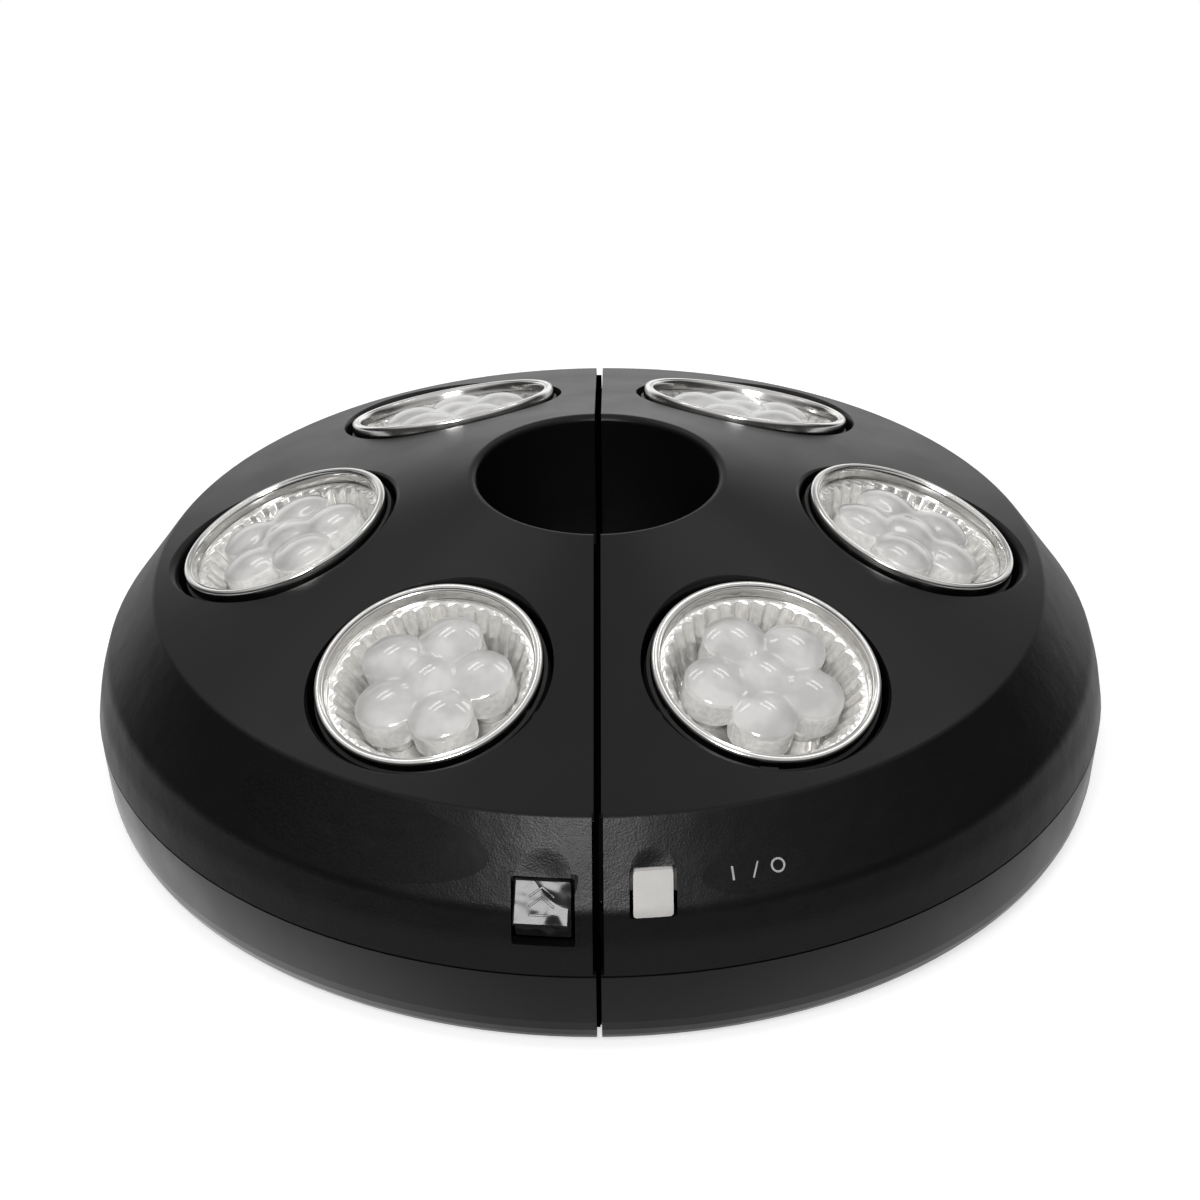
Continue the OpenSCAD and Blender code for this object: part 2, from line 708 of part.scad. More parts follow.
rim_w = 1.55;
rim_in = bezel_r - rim_w;
seat_z = -3.2;
skirt_z = -6;
skirt_t = 1;
lens_r = rim_in - 0.1;
lens_plate_t = 1.1;
lens_ledge_z = -2.6;
lens_inset = 1.5;
flange_r = rim_in - skirt_t - 0.2;
reflector_top_r = bezel_r - 3.8;
reflector_z = [-14, -3.4];
board_r = ball_r - head_wall - 3.6;
led_board_z = reflector_z[0];
guide_z = -8.8;
cone_r = [4.4, 5.4];
pocket_r = 2.9;
head_z = -pivot_drop - head_depth;

module slab(z0, z1) { translate([-60, -60, z0]) cube([120, 120, z1 - z0]); }
module ball(r) { translate([0, 0, -pivot_drop]) sphere(r = r); }

module housing() {
    color("#222224") {
        difference() {
            union() {
                intersection() {
                    ball(ball_r);
                    slab(head_z, seat_z);
                }
                translate([0, 0, -pivot_drop]) rotate([90, 0, 0])
                    cylinder(r = trunnion_r, h = 2 * trunnion_reach, center = true, $fn = 48);
            }
            intersection() {
                ball(ball_r - head_wall);
                slab(head_z + head_wall, 1);
            }
            translate([0, 0, skirt_z]) cylinder(r = rim_in, h = 10);
            // cable hole in the back
            translate([0, 0, head_z - 1]) cylinder(r = 2, h = head_wall + 2, $fn = 32);
        }
        tube(board_r - 1.2, board_r - 2.6, head_z + head_wall - 0.1, led_board_z - 1.6);
    }
}
module bezel() {
    color("#d9dadc") rotate_extrude()
        polygon(outline([[lens_r - 1.1, seat_z, 0], [rim_in - skirt_t, seat_z, 0],
                         [rim_in - skirt_t, skirt_z, 0], [rim_in - 0.1, skirt_z, 0],
                         [rim_in - 0.1, seat_z, 0], [bezel_r, seat_z, 0],
                         [bezel_r, 0, 0.75], [rim_in, 0, 0.75], [rim_in, lens_ledge_z, 0],
                         [lens_r - 1.1, lens_ledge_z, 0]]));
}
module dome_places() {
    children();
    for (k = [0:domes - 1]) rotate([0, 0, dome_turn + 360 * k / domes])
        translate([dome_circle_r, 0, 0]) children();
}
module lens() {
    plate_z = -lens_inset - lens_plate_t;
    color("#e9edf0") difference() {
        union() {
            rotate_extrude()
                polygon([[0, plate_z], [lens_r, plate_z], [lens_r, -0.5], [lens_r - 1.1, -0.5],
                         [lens_r - 1.5, -lens_inset], [0, -lens_inset]]);
            // lobed light guide with a domed top over every diode
            intersection() {
                translate([0, 0, guide_z]) linear_extrude(body_h) dome_places() circle(r = dome_r);
                dome_places() translate([0, 0, -dome_curve - 0.1]) sphere(r = dome_curve);
            }
            // below it, one cone down to every diode
            dome_places() translate([0, 0, led_board_z + 0.1])
                cylinder(r1 = cone_r[0], r2 = cone_r[1], h = guide_z - led_board_z);
        }
        // pocket over each diode
        dome_places() translate([0, 0, led_board_z - 1]) cylinder(r = pocket_r, h = 3.4, $fn = 48);
    }
}
module reflector_bore() {
    steps = 4;
    n = flutes * steps;
    levels = [reflector_z[0] - 0.5, reflector_z[1] + 0.5];
    points = [for (z = levels) for (i = [0:n - 1])
        let (r = reflector_top_r - reflector_taper * (reflector_z[1] - z)
                 - flute_depth * (1 - sin(180 * (i % steps) / steps)))
        [r * cos(360 * i / n), r * sin(360 * i / n), z]];
    polyhedron(points, concat(
        [[for (i = [0:n - 1]) i]],
        [for (i = [0:n - 1]) [i, n + i, n + (i + 1) % n, (i + 1) % n]],
        [[for (i = [0:n - 1]) 2 * n - 1 - i]]));
}
module reflector() {
    low_r = reflector_top_r - reflector_taper * (reflector_z[1] - reflector_z[0]) + 0.9;
    color("#d0d2d6") difference() {
        rotate_extrude($fn = 288)
            polygon([[0, reflector_z[0]], [low_r, reflector_z[0]],
                     [reflector_top_r + 0.6, reflector_z[1] - 0.8], [flange_r, reflector_z[1] - 0.8],
                     [flange_r, reflector_z[1]], [0, reflector_z[1]]]);
        reflector_bore();
    }
}
module led_board() {
    color("#e6e6e0") difference() {
        translate([0, 0, led_board_z - 1.6]) cylinder(r = board_r, h = 1.6);
        // wire notch
        translate([board_r, 0, led_board_z - 3]) cylinder(r = 1.6, h = 5, $fn = 32);
    }
}
module leds() {
    color("#f3e9b8") dome_places() {
        block([-2, 2], [-2, 2], [led_board_z, led_board_z + 0.9]);
        translate([0, 0, led_board_z + 0.9]) intersection() {
            translate([0, 0, -1]) sphere(r = 2, $fn = 32);
            cylinder(r = 2, h = 2, $fn = 32);
        }
    }
}

// ---- what each node draws ----

left_upper_shell();
left_base_shell();
right_upper_shell();
right_base_shell();
hinge_pin();
for (i = [0:len(LAMPS) - 1]) at_lamp(lamp_angles[i]) {
    housing();
    bezel();
    lens();
    reflector();
    led_board();
    leds();
}
on_side(-1) jaw();  // left_jaw
jaw();  // right_jaw
on_side(-1) jaw_pad();  // left_pad
jaw_pad();  // right_pad
on_side(-1) jaw_spring();  // left_jaw_spring
jaw_spring();  // right_jaw_spring
unlock_button();
catch_spring();
power_button();
push_switch();
control_board();
on_side(-1) battery_door();  // left_battery_door
battery_door();  // right_battery_door
on_side(-1) cells();  // left_cells
cells();  // right_cells
on_side(-1) contacts();  // left_contacts
contacts();  // right_contacts
on_side(-1) shell_screws();  // left_shell_screws
shell_screws();  // right_shell_screws
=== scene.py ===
import math
import bmesh
import bpy
from mathutils import Matrix, Vector


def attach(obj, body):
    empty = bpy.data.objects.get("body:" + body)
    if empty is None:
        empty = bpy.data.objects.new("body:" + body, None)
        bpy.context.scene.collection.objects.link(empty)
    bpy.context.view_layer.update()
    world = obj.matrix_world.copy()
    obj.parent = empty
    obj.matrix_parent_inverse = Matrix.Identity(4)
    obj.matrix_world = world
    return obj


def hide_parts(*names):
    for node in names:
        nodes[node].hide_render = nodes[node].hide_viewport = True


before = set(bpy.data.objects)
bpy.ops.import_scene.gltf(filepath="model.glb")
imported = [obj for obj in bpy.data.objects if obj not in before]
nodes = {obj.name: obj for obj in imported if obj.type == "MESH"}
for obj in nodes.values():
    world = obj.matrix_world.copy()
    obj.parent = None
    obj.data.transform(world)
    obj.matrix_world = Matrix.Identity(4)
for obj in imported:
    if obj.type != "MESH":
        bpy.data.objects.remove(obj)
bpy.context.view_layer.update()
mm = 0.001

# the six lamp heads: angle from the front, and the body each one tilts with
lampSpots = {"right_front": 30, "right_middle": 90, "right_back": 150,
             "left_front": -30, "left_middle": -90, "left_back": -150}
lampSeat = {"circleRadius": 74.2, "height": 62.927, "lean": 20.4}


def unselect():
    if bpy.context.mode != "OBJECT":
        bpy.ops.object.mode_set(mode="OBJECT")
    bpy.ops.object.select_all(action="DESELECT")


def startEdit(piece, pick="VERT"):
    unselect()
    piece.select_set(True)
    bpy.context.view_layer.objects.active = piece
    bpy.ops.object.mode_set(mode="EDIT")
    bpy.ops.mesh.select_mode(type=pick)


def endEdit():
    bpy.ops.object.mode_set(mode="OBJECT")
    return bpy.context.object


def applyModifiers(piece):
    unselect()
    piece.select_set(True)
    bpy.context.view_layer.objects.active = piece
    for modifier in list(piece.modifiers):
        bpy.ops.object.modifier_apply(modifier=modifier.name)


def smooth(piece, angle=35):
    unselect()
    piece.select_set(True)
    bpy.context.view_layer.objects.active = piece
    bpy.ops.object.shade_smooth_by_angle(angle=math.radians(angle))


def startRing(name, radius, z, steps):
    # a bare ring of edges, ready to be extruded like a turned profile
    unselect()
    bpy.ops.mesh.primitive_circle_add(vertices=steps, radius=radius * mm, location=(0, 0, z * mm))
    ring = bpy.context.object
    ring.name = ring.data.name = name
    bpy.ops.object.transform_apply(location=True)
    startEdit(ring)
    bpy.ops.mesh.select_all(action="SELECT")
    return ring


def extrudeRing(last, new):
    # pulls the picked ring from one (radius, z) to the next
    bpy.ops.mesh.extrude_region_move(TRANSFORM_OT_translate={"value": (0, 0, (new[1] - last[1]) * mm)})
    size = new[0] / last[0]
    bpy.ops.transform.resize(value=(size, size, 1), center_override=(0, 0, new[1] * mm))


def turnPiece(name, profile, steps, closed=True):
    piece = startRing(name, profile[0][0], profile[0][1], steps)
    for last, new in zip(profile, profile[1:]):
        extrudeRing(last, new)
    if closed:
        bpy.ops.mesh.select_all(action="DESELECT")
        bpy.ops.mesh.select_non_manifold()
        bpy.ops.mesh.bridge_edge_loops()
    bpy.ops.mesh.select_all(action="SELECT")
    bpy.ops.mesh.normals_make_consistent(inside=False)
    return endEdit()


def lampPlace(spot):
    turn = math.radians(lampSpots[spot] - 90)
    return (Matrix.Rotation(turn, 4, "Z")
            @ Matrix.Translation((lampSeat["circleRadius"] * mm, 0, lampSeat["height"] * mm))
            @ Matrix.Rotation(math.radians(lampSeat["lean"]), 4, "Y"))


def copyToLamps(model, stands, castShadow=True):
    # one copy of the model, with its own mesh, in every lamp head
    for spot in lampSpots:
        piece = model.copy()
        piece.data = model.data.copy()
        piece.name = piece.data.name = f"{model.name}_{spot}"
        bpy.context.scene.collection.objects.link(piece)
        piece.data.transform(lampPlace(spot))
        piece.visible_shadow = castShadow
        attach(piece, f"lamp_{spot}")
        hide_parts(f"{stands}_{spot}")
    bpy.data.objects.remove(model)


def newFinish(name, settings):
    material = bpy.data.materials.new(name)
    material.use_nodes = True
    shader = material.node_tree.nodes["Principled BSDF"]
    for socket, value in settings.items():
        shader.inputs[socket].default_value = value
    return material, material.node_tree, shader


def doMath(tree, operation, first, second):
    node = tree.nodes.new("ShaderNodeMath")
    node.operation = operation
    for socket, value in zip(node.inputs, (first, second)):
        if isinstance(value, (int, float)):
            socket.default_value = value
        else:
            tree.links.new(value, socket)
    return node.outputs[0]


def stepBetween(tree, value, start, end, low, high):
    node = tree.nodes.new("ShaderNodeMapRange")
    node.interpolation_type = "SMOOTHSTEP"
    for socket, number in zip(("From Min", "From Max", "To Min", "To Max"), (start, end, low, high)):
        node.inputs[socket].default_value = number
    tree.links.new(value, node.inputs["Value"])
    return node.outputs["Result"]


def addNoise(tree, size, detail=2.0, stretch=(1, 1, 1)):
    place = tree.nodes.new("ShaderNodeTexCoord")
    mapping = tree.nodes.new("ShaderNodeMapping")
    mapping.inputs["Scale"].default_value = stretch
    noise = tree.nodes.new("ShaderNodeTexNoise")
    noise.inputs["Scale"].default_value = 1 / (size * mm)
    noise.inputs["Detail"].default_value = detail
    tree.links.new(place.outputs["Object"], mapping.inputs["Vector"])
    tree.links.new(mapping.outputs["Vector"], noise.inputs["Vector"])
    return noise.outputs["Fac"]


def addBump(tree, shader, size, depth, detail=2.0, stretch=(1, 1, 1), mask=None):
    bump = tree.nodes.new("ShaderNodeBump")
    bump.inputs["Strength"].default_value = 1.0
    if mask:
        tree.links.new(mask, bump.inputs["Strength"])
    bump.inputs["Distance"].default_value = depth * mm
    tree.links.new(addNoise(tree, size, detail, stretch), bump.inputs["Height"])
    normal = shader.inputs["Normal"]
    if normal.is_linked:
        tree.links.new(normal.links[0].from_socket, bump.inputs["Normal"])
    tree.links.new(bump.outputs["Normal"], normal)


def addSpread(tree, shader, socket, size, low, high, detail=2.0, stretch=(1, 1, 1)):
    spread = tree.nodes.new("ShaderNodeMapRange")
    spread.inputs["From Min"].default_value = 0.3
    spread.inputs["From Max"].default_value = 0.7
    spread.inputs["To Min"].default_value = low
    spread.inputs["To Max"].default_value = high
    tree.links.new(addNoise(tree, size, detail, stretch), spread.inputs["Value"])
    tree.links.new(spread.outputs["Result"], shader.inputs[socket])


def maskBelow(tree, height):
    # 1 below a height in mm, 0 above it
    place = tree.nodes.new("ShaderNodeTexCoord")
    split = tree.nodes.new("ShaderNodeSeparateXYZ")
    below = tree.nodes.new("ShaderNodeMath")
    below.operation = "LESS_THAN"
    below.inputs[1].default_value = height * mm
    tree.links.new(place.outputs["Object"], split.inputs[0])
    tree.links.new(split.outputs["Z"], below.inputs[0])
    return below.outputs[0]


def paintSeamShade(tree, shader, seamShade):
    # painted shade: near-black colour and no specular near the seam plane, standing in for the deep shadow in
    # the joint; each pair is a half width and the Y that it lies in front of, in mm
    place = tree.nodes.new("ShaderNodeTexCoord")
    split = tree.nodes.new("ShaderNodeSeparateXYZ")
    tree.links.new(place.outputs["Object"], split.inputs[0])
    away = doMath(tree, "ABSOLUTE", split.outputs["X"], 0)
    mask = 0
    for halfWidth, limit in seamShade:
        narrow = doMath(tree, "LESS_THAN", away, halfWidth * mm)
        forward = doMath(tree, "LESS_THAN", split.outputs["Y"], limit * mm)
        mask = doMath(tree, "MAXIMUM", mask, doMath(tree, "MULTIPLY", narrow, forward))
    level = shader.inputs["Specular IOR Level"]
    tree.links.new(doMath(tree, "MULTIPLY", doMath(tree, "SUBTRACT", 1.0, mask), level.default_value), level)
    mix = tree.nodes.new("ShaderNodeMix")
    mix.data_type = "RGBA"
    colours = [s for s in mix.inputs if s.type == "RGBA"]
    # painted shade colour mixed in near the seam
    colours[1].default_value = (0.0005, 0.0005, 0.0005, 1)
    tree.links.new(shader.inputs["Base Color"].links[0].from_socket, colours[0])
    tree.links.new(mask, mix.inputs["Factor"])
    tree.links.new([s for s in mix.outputs if s.type == "RGBA"][0], shader.inputs["Base Color"])


def addTints(tree, shader, size, first, second, detail=2.0, stretch=(1, 1, 1)):
    mix = tree.nodes.new("ShaderNodeMix")
    mix.data_type = "RGBA"
    colours = [s for s in mix.inputs if s.type == "RGBA"]
    colours[0].default_value = (*first, 1)
    colours[1].default_value = (*second, 1)
    spread = tree.nodes.new("ShaderNodeMapRange")
    spread.inputs["From Min"].default_value = 0.35
    spread.inputs["From Max"].default_value = 0.65
    tree.links.new(addNoise(tree, size, detail, stretch), spread.inputs["Value"])
    tree.links.new(spread.outputs["Result"], mix.inputs["Factor"])
    result = [s for s in mix.outputs if s.type == "RGBA"][0]
    tree.links.new(result, shader.inputs["Base Color"])


def finishFrom(name, look):
    # one finish from its dictionary: plain sockets, two tints, a spread of roughness and layers of bump
    material, tree, shader = newFinish(name, look.get("sockets", {}))
    addTints(tree, shader, look["tintSize"], look["tints"][0], look["tints"][1])
    low, high = look["roughness"]
    addSpread(tree, shader, "Roughness", look.get("roughnessSize", 9), low, high,
              stretch=look.get("stretch", (1, 1, 1)))
    for size, depth in look.get("bumps", []):
        addBump(tree, shader, size, depth, look.get("bumpDetail", 2.0), look.get("stretch", (1, 1, 1)))
    if "grainBelow" in look:
        mask = maskBelow(tree, look["grainBelow"])
        for size, depth in look["grain"]:
            addBump(tree, shader, size, depth, mask=mask)
    # painted shade along the seam, from the seamShade entries
    if "seamShade" in look:
        paintSeamShade(tree, shader, look["seamShade"])
    return material


looks = {
    "casingPlastic": {"tints": ((0.0026, 0.0025, 0.0027), (0.0034, 0.0033, 0.0035)), "tintSize": 30,
                      "roughness": (0.33, 0.38), "roughnessSize": 14,
                      "bumps": [(14, 0.02), (0.42, 0.004)], "sockets": {"Specular IOR Level": 0.25},
                      "grainBelow": 51.9, "grain": [(7, 0.16), (0.45, 0.050)],
                      # seamShade: painted shade within these half widths of the seam plane
                      "seamShade": [(0.79, 200), (1.19, -104.2)]},
    "basePlastic": {"tints": ((0.0028, 0.0027, 0.0029), (0.0038, 0.0037, 0.0039)), "tintSize": 26,
                    "roughness": (0.40, 0.46), "roughnessSize": 12,
                    "bumps": [(0.45, 0.010)], "sockets": {"Specular IOR Level": 0.25},
                    # seamShade: painted shade within this half width of the seam plane
                    "seamShade": [(0.54, 200)]},
    "innerPlastic": {"tints": ((0.008, 0.008, 0.008), (0.012, 0.012, 0.012)), "tintSize": 8,
                     "roughness": (0.45, 0.55), "bumps": [(0.4, 0.008)],
                     "sockets": {"Specular IOR Level": 0.35}},
    # painted shade: near-black with almost no specular, for the seam lips that stand in for the deep shadow of
    # the joint
    "seamShadeBlack": {"tints": ((0.0004, 0.0004, 0.0004), (0.0006, 0.0006, 0.0006)), "tintSize": 8,
                  "roughness": (0.60, 0.70), "bumps": [(0.4, 0.008)],
                  "sockets": {"Specular IOR Level": 0.03}},
    "hingeSteel": {"tints": ((0.46, 0.46, 0.47), (0.56, 0.56, 0.57)), "tintSize": 1.5,
                   "roughness": (0.26, 0.36), "roughnessSize": 1.2, "stretch": (1, 1, 0.08),
                   "bumps": [(0.3, 0.002)], "sockets": {"Metallic": 1.0}},
    "springSteel": {"tints": ((0.50, 0.50, 0.52), (0.60, 0.60, 0.61)), "tintSize": 2,
                    "roughness": (0.22, 0.32), "roughnessSize": 1.5,
                    "bumps": [(0.2, 0.0015)], "sockets": {"Metallic": 1.0}},
    "screwSteel": {"tints": ((0.38, 0.38, 0.39), (0.50, 0.50, 0.51)), "tintSize": 2.5,
                   "roughness": (0.30, 0.42), "roughnessSize": 1.5,
                   "bumps": [(0.3, 0.003)], "sockets": {"Metallic": 1.0}},
    "contactNickel": {"tints": ((0.60, 0.58, 0.55), (0.70, 0.68, 0.64)), "tintSize": 3,
                      "roughness": (0.18, 0.30), "roughnessSize": 2,
                      "bumps": [(0.4, 0.002)], "sockets": {"Metallic": 1.0}},
    "padRubber": {"tints": ((0.014, 0.014, 0.014), (0.022, 0.022, 0.022)), "tintSize": 6,
                  "roughness": (0.70, 0.82), "bumps": [(0.6, 0.02), (0.2, 0.006)],
                  "sockets": {"Specular IOR Level": 0.3}},
    "boardWhite": {"tints": ((0.70, 0.70, 0.68), (0.76, 0.76, 0.74)), "tintSize": 4,
                   "roughness": (0.30, 0.42), "bumps": [(0.5, 0.003)]},
    "diodePhosphor": {"tints": ((0.72, 0.62, 0.30), (0.80, 0.72, 0.42)), "tintSize": 0.8,
                      "roughness": (0.25, 0.35), "bumps": [(0.3, 0.004)]},
    "unlockBlack": {"tints": ((0.006, 0.006, 0.006), (0.010, 0.010, 0.010)), "tintSize": 5,
                    "roughness": (0.08, 0.14), "roughnessSize": 3,
                    "bumps": [(3.2, 0.26)], "bumpDetail": 0.0, "sockets": {"Specular IOR Level": 0.22}},
    "powerWhite": {"tints": ((0.43, 0.418, 0.405), (0.455, 0.443, 0.43)), "tintSize": 3,
                   "roughness": (0.38, 0.46), "bumps": [(0.5, 0.006)]},
    "switchPlastic": {"tints": ((0.03, 0.03, 0.032), (0.045, 0.045, 0.048)), "tintSize": 2,
                      "roughness": (0.40, 0.50), "bumps": [(0.3, 0.004)]},
    "circuitGreen": {"tints": ((0.012, 0.085, 0.035), (0.020, 0.125, 0.05)), "tintSize": 1.6,
                     "roughness": (0.28, 0.40), "bumps": [(0.8, 0.012)]},
    "cellJacket": {"tints": ((0.16, 0.18, 0.21), (0.22, 0.24, 0.27)), "tintSize": 12,
                   "roughness": (0.28, 0.38), "bumps": [(3, 0.01)], "sockets": {"Metallic": 0.7}},
    "bezelChrome": {"tints": ((0.80, 0.79, 0.77), (0.86, 0.85, 0.83)), "tintSize": 5,
                    "roughness": (0.10, 0.20), "roughnessSize": 4,
                    "bumps": [(1.6, 0.0015)], "sockets": {"Metallic": 1.0}},
    "reflectorSilver": {"tints": ((0.72, 0.71, 0.695), (0.85, 0.84, 0.82)), "tintSize": 1.6,
                        "roughness": (0.06, 0.14), "roughnessSize": 1.4,
                        "bumps": [(0.9, 0.008)], "sockets": {"Metallic": 0.75}},
    # frosted lens: the milky colour is the lens's own, and the blotchy spread between its two tints is painted
    # light, bright and dark patches standing in for light gathered through the domes
    "frostedLens": {"tints": ((0.46, 0.453, 0.444), (0.61, 0.602, 0.59)), "tintSize": 7,
                    "roughness": (0.34, 0.44), "roughnessSize": 3, "bumps": [(4, 0.02)],
                    "sockets": {"IOR": 1.49, "Coat Weight": 1.0, "Coat IOR": 1.95, "Coat Roughness": 0.06,
                                "Subsurface Weight": 0.9, "Subsurface Radius": (1, 1, 1),
                                "Subsurface Scale": 0.0035}},
    "guideWall": {"tints": ((0.68, 0.675, 0.665), (0.84, 0.835, 0.82)), "tintSize": 1.1,
                  "roughness": (0.05, 0.12), "roughnessSize": 2, "stretch": (1, 1, 0.06),
                  "bumps": [(0.9, 0.008)], "sockets": {"Metallic": 0.35, "IOR": 1.6}},
    "labelFilm": {"tints": ((0.0016, 0.0016, 0.0020), (0.0050, 0.0050, 0.0054)), "tintSize": 0.5,
                  "roughness": (0.20, 0.28), "roughnessSize": 6,
                  "bumps": [(9, 0.03), (0.5, 0.002)], "sockets": {"Specular IOR Level": 0.3}},
    "markGrey": {"tints": ((0.30, 0.295, 0.29), (0.36, 0.355, 0.35)), "tintSize": 1.2,
                 "roughness": (0.40, 0.50), "bumps": [(0.3, 0.003)]},
}
finishes = {name: finishFrom(name, look) for name, look in looks.items()}


def clearFinish(name, roughness, index):
    # clear acrylic that lets lamp light through to what lies behind it
    material, tree, shader = newFinish(name, {"Base Color": (0.97, 0.97, 0.965, 1), "IOR": index,
                                              "Transmission Weight": 1.0, "Roughness": roughness})
    lightPath = tree.nodes.new("ShaderNodeLightPath")
    clear = tree.nodes.new("ShaderNodeBsdfTransparent")
    mix = tree.nodes.new("ShaderNodeMixShader")
    tree.links.new(lightPath.outputs["Is Shadow Ray"], mix.inputs[0])
    tree.links.new(shader.outputs[0], mix.inputs[1])
    tree.links.new(clear.outputs[0], mix.inputs[2])
    tree.links.new(mix.outputs[0], tree.nodes["Material Output"].inputs["Surface"])
    return material


# the thin plate hardly mirrors or bends what is seen straight through it
finishes["clearPlate"] = clearFinish("clearPlate", 0.03, 1.05)
print("finishes ready:", len(finishes))

# the CAD nodes that stay, each with its finish
nodeFinishes = {
    "left_upper_shell": "casingPlastic", "right_upper_shell": "casingPlastic",
    "left_base_shell": "basePlastic", "right_base_shell": "basePlastic",
    "left_battery_door": "basePlastic", "right_battery_door": "basePlastic",
    "hinge_pin": "hingeSteel", "catch_spring": "springSteel",
    "left_jaw_spring": "springSteel", "right_jaw_spring": "springSteel",
    "left_jaw": "innerPlastic", "right_jaw": "innerPlastic",
    "left_pad": "padRubber", "right_pad": "padRubber",
    "unlock_button": "unlockBlack", "power_button": "powerWhite", "push_switch": "switchPlastic",
    "control_board": "circuitGreen", "left_cells": "cellJacket", "right_cells": "cellJacket",
    "left_contacts": "contactNickel", "right_contacts": "contactNickel",
    "left_shell_screws": "screwSteel", "right_shell_screws": "screwSteel",
}
for spot in lampSpots:
    nodeFinishes[f"housing_{spot}"] = "innerPlastic"
    nodeFinishes[f"led_board_{spot}"] = "boardWhite"
    nodeFinishes[f"leds_{spot}"] = "diodePhosphor"
for name, finish in nodeFinishes.items():
    for slotPlace in nodes[name].material_slots:
        slotPlace.material = finishes[finish]
print("CAD nodes finished:", len(nodeFinishes))

# chrome bezel ring of a lamp head
bezel = {"steps": 192,
         "profile": [(22.9, -3.2), (25.75, -3.2), (25.75, -1.0), (25.68, -0.55), (25.50, -0.24), (25.22, -0.06),
                     (24.90, 0.0), (24.55, -0.02), (24.32, -0.12), (24.22, -0.34), (24.12, -0.44),
                     (24.02, -0.34), (23.90, -0.28), (23.74, -0.34), (23.62, -0.52), (23.50, -1.1),
                     (23.30, -2.35), (23.25, -2.95), (22.9, -2.95)]}
ring = turnPiece("bezel_ring", bezel["profile"], bezel["steps"])
smooth(ring, 40)
ring.data.materials.append(finishes["bezelChrome"])
copyToLamps(ring, "bezel")

# fluted silver reflector
reflector = {"flutes": 36, "stepsPerFlute": 8, "flangeRadius": 23.28, "flangeHeight": -3.2,
             "mouthRadius": 22.0, "fluteDepth": 0.95, "taper": 0.45, "floorHeight": -13.9, "wall": 0.7}


def fluteScale(angle, radius):
    # each flute bulges outwards, and its edges point in
    turn = (angle * reflector["flutes"] / (2 * math.pi)) % 1
    return 1 - reflector["fluteDepth"] * (1 - math.sin(math.pi * turn)) / radius


def waveRing(piece, radius, share=1.0):
    mesh = bmesh.from_edit_mesh(piece.data)
    for vert in mesh.verts:
        if vert.select:
            angle = math.atan2(vert.co.y, vert.co.x)
            scale = 1 + (fluteScale(angle, radius) - 1) * share
            vert.co.x *= scale
            vert.co.y *= scale
    bmesh.update_edit_mesh(piece.data)


cup = startRing("reflector_cup", reflector["flangeRadius"], reflector["flangeHeight"],
                reflector["flutes"] * reflector["stepsPerFlute"])
last = (reflector["flangeRadius"], reflector["flangeHeight"])
lip = (reflector["mouthRadius"] + 0.16, reflector["flangeHeight"])
extrudeRing(last, lip)
waveRing(cup, lip[0])
last = lip
for drop, pull in ((0.05, 0.11), (0.18, 0.18)):
    new = (lip[0] - pull, lip[1] - drop)
    extrudeRing(last, new)
    last = new
depth = last[1] - reflector["floorHeight"]
for part in (0.25, 0.5, 0.75, 1.0):
    z = lip[1] - 0.18 - depth * part
    new = (lip[0] - 0.18 - reflector["taper"] * depth * part, z)
    extrudeRing(last, new)
    last = new
for radius in (12.0, 6.0, 0.5):
    extrudeRing(last, (radius, reflector["floorHeight"]))
    last = (radius, reflector["floorHeight"])
bpy.ops.mesh.merge(type="CENTER")
bpy.ops.mesh.select_all(action="SELECT")
bpy.ops.mesh.normals_make_consistent(inside=False)
bpy.ops.mesh.flip_normals()
cup = endEdit()
if cup.data.polygons[len(cup.data.polygons) - 1].normal.z < 0:
    startEdit(cup)
    bpy.ops.mesh.select_all(action="SELECT")
    bpy.ops.mesh.flip_normals()
    endEdit()
wall = cup.modifiers.new("wall", "SOLIDIFY")
wall.thickness = reflector["wall"] * mm
wall.offset = -1
applyModifiers(cup)
smooth(cup, 50)
cup.data.materials.append(finishes["reflectorSilver"])
copyToLamps(cup, "reflector")

# lens: a lobed light guide with frosted domes, and the thin clear plate round it
lens = {"domes": 5, "domeRadius": 7.3, "domeCircle": 11.1, "domeTurn": -30, "domeCurve": 12.0, "domeTop": -0.1,
        "blend": 0.6, "steps": 180, "rings": 36, "guideFoot": -8.8, "plateRadius": 23.15,
        "plateTop": -2.45, "plateUnder": -2.92, "plateLap": 0.3,
        "coneFoot": -13.8, "coneRadius": (4.4, 5.4)}


def domeCentres():
    places = [(0.0, 0.0)]
    for k in range(lens["domes"]):
        angle = math.radians(lens["domeTurn"] + 360 * k / lens["domes"])
        places.append((lens["domeCircle"] * math.cos(angle), lens["domeCircle"] * math.sin(angle)))
    return places


def lobedRadius(angle):
    # how far out the joined domes reach in one direction
    reach = lens["domeRadius"]
    for x, y in domeCentres()[1:]:
        turn = angle - math.atan2(y, x)
        offset = lens["domeCircle"] * math.sin(turn)
        if abs(offset) < lens["domeRadius"] and math.cos(turn) > 0:
            reach = max(reach, lens["domeCircle"] * math.cos(turn)
                        + math.sqrt(lens["domeRadius"] ** 2 - offset ** 2))
    return reach


def domeHeight(x, y):
    # the highest of the six domes, with the creases between them blended
    total = 0
    for cx, cy in domeCentres():
        away = min((x - cx) ** 2 + (y - cy) ** 2, lens["domeCurve"] ** 2)
        height = math.sqrt(lens["domeCurve"] ** 2 - away) - lens["domeCurve"]
        total += math.exp(height / lens["blend"])
    return lens["domeTop"] + lens["blend"] * math.log(total)


